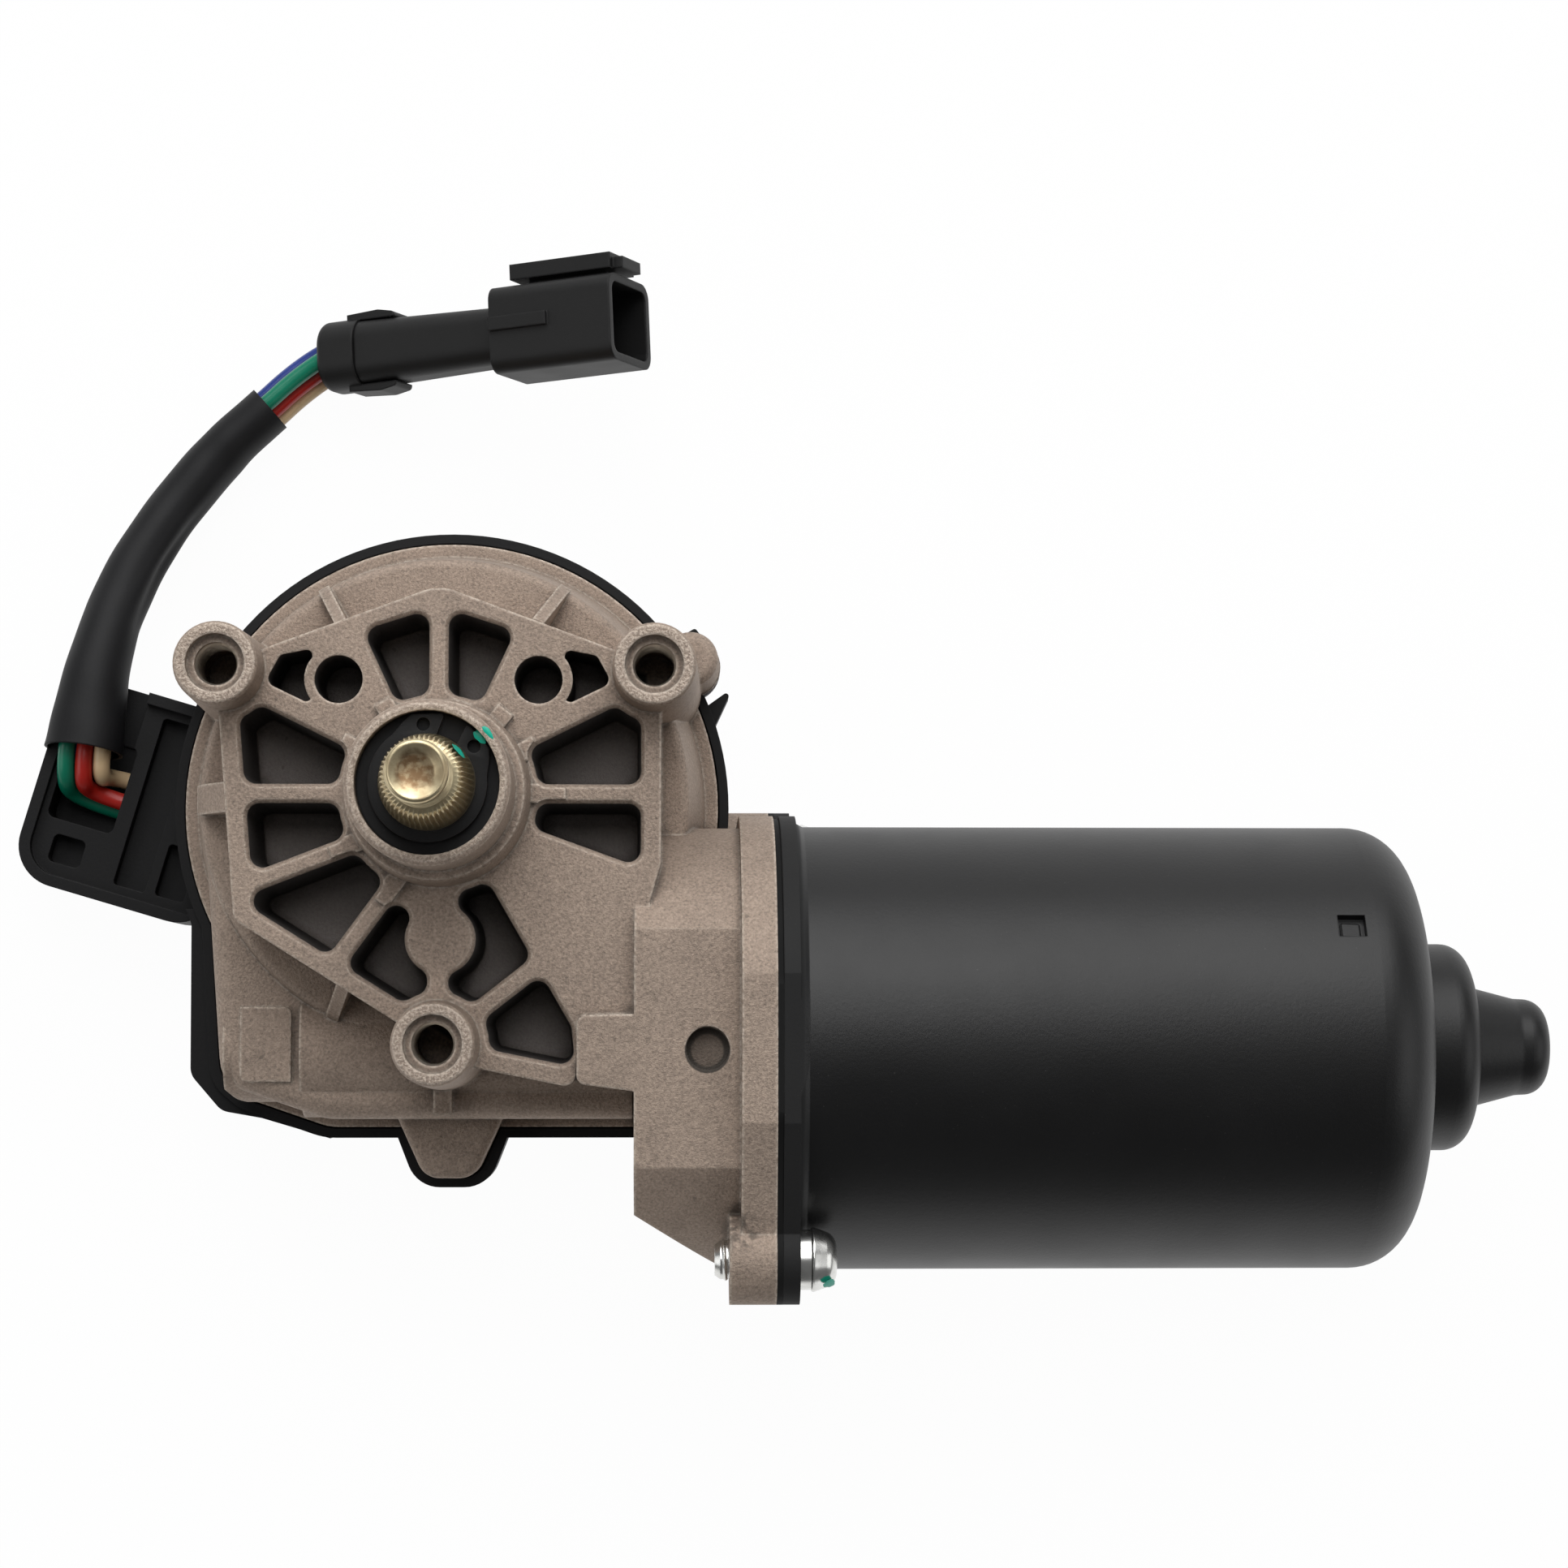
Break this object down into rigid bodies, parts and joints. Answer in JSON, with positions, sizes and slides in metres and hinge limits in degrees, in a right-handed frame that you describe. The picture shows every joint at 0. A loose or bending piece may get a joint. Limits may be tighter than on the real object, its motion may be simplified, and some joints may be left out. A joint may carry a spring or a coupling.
{
  "type": "wiper motor",
  "caption": "Worm-geared windscreen wiper motor: ribbed die-cast gear housing, tapered knurled output shaft, black drawn motor can, moulded cover and sleeved harness with a plug",
  "frame": {"origin": "centre of the circle of the three mounting bosses, on the output shaft's axis, level with the bosses' faces", "axes": "+Z out along the output shaft; +X along the motor to its closed end; +Y from the motor's axis to the output shaft"},
  "size_m": [0.211, 0.1436, 0.0932],
  "materials": {
    "cast_aluminium": "shot-blasted die casting",
    "black_paint": "satin black paint on drawn steel",
    "black_plastic": "moulded, fine matte",
    "plug_plastic": "moulded, smooth matte",
    "seal_rubber": "matte rubber",
    "zinc_steel": "yellowish zinc plating",
    "bright_screw": "bright zinc plating",
    "bare_steel": "ground steel",
    "black_steel": "blackened spring steel",
    "lamination": "stacked sheet edges",
    "ferrite": "sintered ferrite",
    "copper": "bare or enamelled copper",
    "brass": "stamped brass",
    "sintered_bronze": "oil-soaked sintered bronze",
    "carbon": "pressed copper graphite",
    "brown_plastic": "phenolic moulding",
    "wheel_plastic": "natural nylon",
    "sleeve_vinyl": "soft vinyl sleeving",
    "wire_green": "insulation",
    "wire_red": "insulation",
    "wire_white": "insulation",
    "wire_blue": "insulation",
    "wire_black": "insulation"
  },
  "bodies": {
    "root": {"gear_housing": "cast_aluminium", "gear_cover": "black_plastic", "cover_seal": "seal_rubber", "cover_screws": "bright_screw", "motor_yoke": "black_paint", "yoke_gasket": "seal_rubber", "yoke_screws": "bright_screw", "field_magnets": "ferrite", "magnet_springs": "bare_steel", "brush_plate": "brown_plastic", "brush_guides": "brass", "choke_coils": "copper", "circuit_breaker": "black_plastic", "front_bearing_outer": "bare_steel", "bearing_retainer": "bare_steel", "worm_end_bush": "sintered_bronze", "worm_thrust_pad": "bare_steel", "rear_bush": "sintered_bronze", "rear_bush_ring": "bare_steel", "upper_shaft_bush": "sintered_bronze", "lower_shaft_bush": "sintered_bronze", "shaft_seal_ring": "seal_rubber", "hub_washer": "black_steel", "wheel_washer": "bare_steel", "contact_plate": "brown_plastic", "park_contacts": "brass", "brush_leads": "wire_red", "lead_grommet": "seal_rubber", "harness_sleeve": "sleeve_vinyl", "connector_shell": "plug_plastic", "connector_rear_cap": "plug_plastic", "connector_pins": "brass", "wire_green": "wire_green", "wire_red": "wire_red", "wire_white": "wire_white", "wire_blue": "wire_blue", "wire_black": "wire_black", "brush_spring_common": "bare_steel", "brush_spring_low_speed": "bare_steel", "brush_spring_high_speed": "bare_steel"},
    "armature": {"armature_shaft": "bare_steel", "armature_core": "lamination", "armature_windings": "copper", "commutator_bars": "copper", "commutator_hub": "brown_plastic", "front_bearing_inner": "bare_steel", "thrust_ball": "bare_steel"},
    "ball_cage": {"bearing_balls": "bare_steel", "bearing_cage": "brass"},
    "output": {"output_shaft": "zinc_steel", "worm_wheel": "wheel_plastic", "park_ring": "copper", "retaining_clip": "black_steel"},
    "brush_common_slide": {"brush_common": "carbon"},
    "brush_low_speed_slide": {"brush_low_speed": "carbon"},
    "brush_high_speed_slide": {"brush_high_speed": "carbon"}
  },
  "joints": [
    {"name": "armature_spin", "type": "hinge", "parent": "root", "child": "armature", "pos_m": [0.036, -0.033, -0.031], "axis": [1, 0, 0], "continuous": true},
    {"name": "output_spin", "type": "hinge", "parent": "root", "child": "output", "pos_m": [0, 0, 0], "axis": [0, 0, 1], "continuous": true},
    {"name": "cage_spin", "type": "hinge", "parent": "root", "child": "ball_cage", "pos_m": [0.036, -0.033, -0.031], "axis": [1, 0, 0], "continuous": true},
    {"name": "brush_common_travel", "type": "slide", "parent": "root", "child": "brush_common_slide", "axis": [0, 0, 1], "range_m": [0, 0.004], "stiffness_N_per_m": 40, "springref_m": -0.015, "deforming": ["brush_spring_common"]},
    {"name": "brush_low_speed_travel", "type": "slide", "parent": "root", "child": "brush_low_speed_slide", "axis": [0, 0, -1], "range_m": [0, 0.004], "stiffness_N_per_m": 40, "springref_m": -0.015, "deforming": ["brush_spring_low_speed"]},
    {"name": "brush_high_speed_travel", "type": "slide", "parent": "root", "child": "brush_high_speed_slide", "axis": [0, -0.866, -0.5], "range_m": [0, 0.004], "stiffness_N_per_m": 40, "springref_m": -0.015, "deforming": ["brush_spring_high_speed"]}
  ],
  "couplings": [
    {"joint": "output_spin", "follows": "armature_spin", "ratio": -0.017857},
    {"joint": "cage_spin", "follows": "armature_spin", "ratio": 0.36667}
  ]
}
